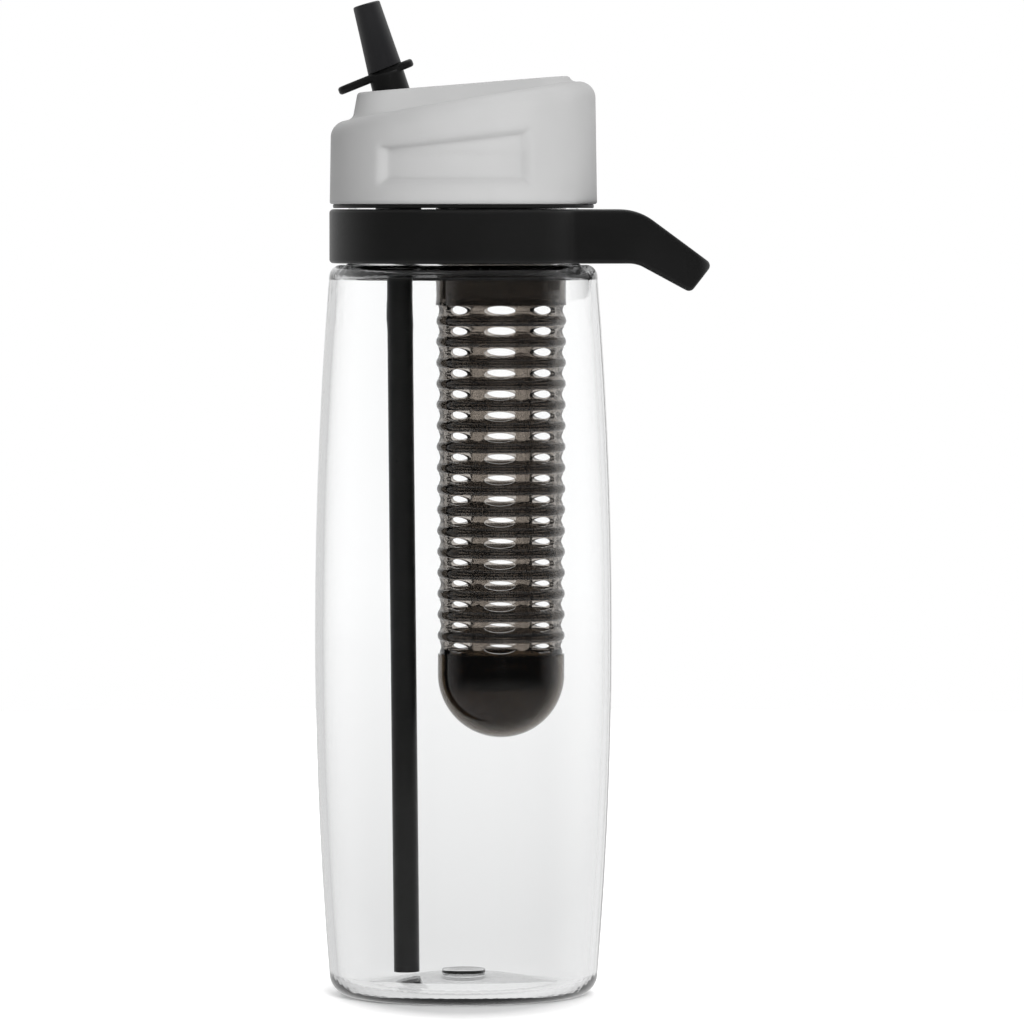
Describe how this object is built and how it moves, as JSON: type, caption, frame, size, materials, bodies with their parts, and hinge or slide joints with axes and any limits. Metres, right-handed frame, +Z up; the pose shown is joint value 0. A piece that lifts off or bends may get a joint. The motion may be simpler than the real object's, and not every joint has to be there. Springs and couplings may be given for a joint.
{
  "type": "fruit infuser water bottle",
  "caption": "Clear drinking bottle with a screw lid, folding straw spout, bent carry loop and a slotted fruit infuser hung beside the straw.",
  "frame": {"origin": "on the bottle's axis in the plane of the foot ring it stands on", "axes": "+Z up the bottle's axis, +X towards the carry loop, +Y away from the viewer of the picture"},
  "size_m": [0.0994, 0.075, 0.251],
  "materials": {
    "clear": "clear, polished",
    "black": "satin moulded",
    "grey": "fine matte moulded",
    "silicone": "soft matte",
    "pin": "ground",
    "soft_black": "soft matte",
    "straw": "smooth",
    "smoke": "smoky, polished"
  },
  "bodies": {
    "bottle": {"bottle_body": "clear"},
    "band": {"carry_band": "black"},
    "lid_seal": {"lid_gasket": "silicone"},
    "lid": {"lid_shell": "grey", "lid_liner": "black", "vent_valve": "silicone", "spout_seat": "silicone", "spout_pin_front": "pin", "spout_pin_back": "pin", "straw": "straw", "straw_sleeve": "silicone"},
    "spout": {"spout_body": "black", "mouthpiece": "soft_black"},
    "infuser": {"infuser_basket": "smoke"},
    "infuser_cap": {"infuser_end_cap": "smoke"}
  },
  "joints": [
    {"name": "band_swivel", "type": "hinge", "parent": "bottle", "child": "band", "pos_m": [0, 0, 0.1917], "axis": [0, 0, 1], "continuous": true},
    {"name": "lid_lift", "type": "slide", "parent": "bottle", "child": "lid_seal", "axis": [0, 0, 1], "range_m": [0, 0.215]},
    {"name": "lid_turn", "type": "hinge", "parent": "lid_seal", "child": "lid", "pos_m": [0, 0, 0.2], "axis": [0, 0, 1], "range_deg": [0, 540]},
    {"name": "spout_flip", "type": "hinge", "parent": "lid", "child": "spout", "pos_m": [-0.0164, 0, 0.222], "axis": [0, 1, 0], "range_deg": [0, 101.4]},
    {"name": "infuser_twist", "type": "hinge", "parent": "lid", "child": "infuser", "pos_m": [0.0095, 0, 0.2], "axis": [0, 0, 1], "range_deg": [0, 60]},
    {"name": "infuser_cap_pull", "type": "slide", "parent": "infuser", "child": "infuser_cap", "axis": [0, 0, -1], "range_m": [0, 0.02]}
  ]
}
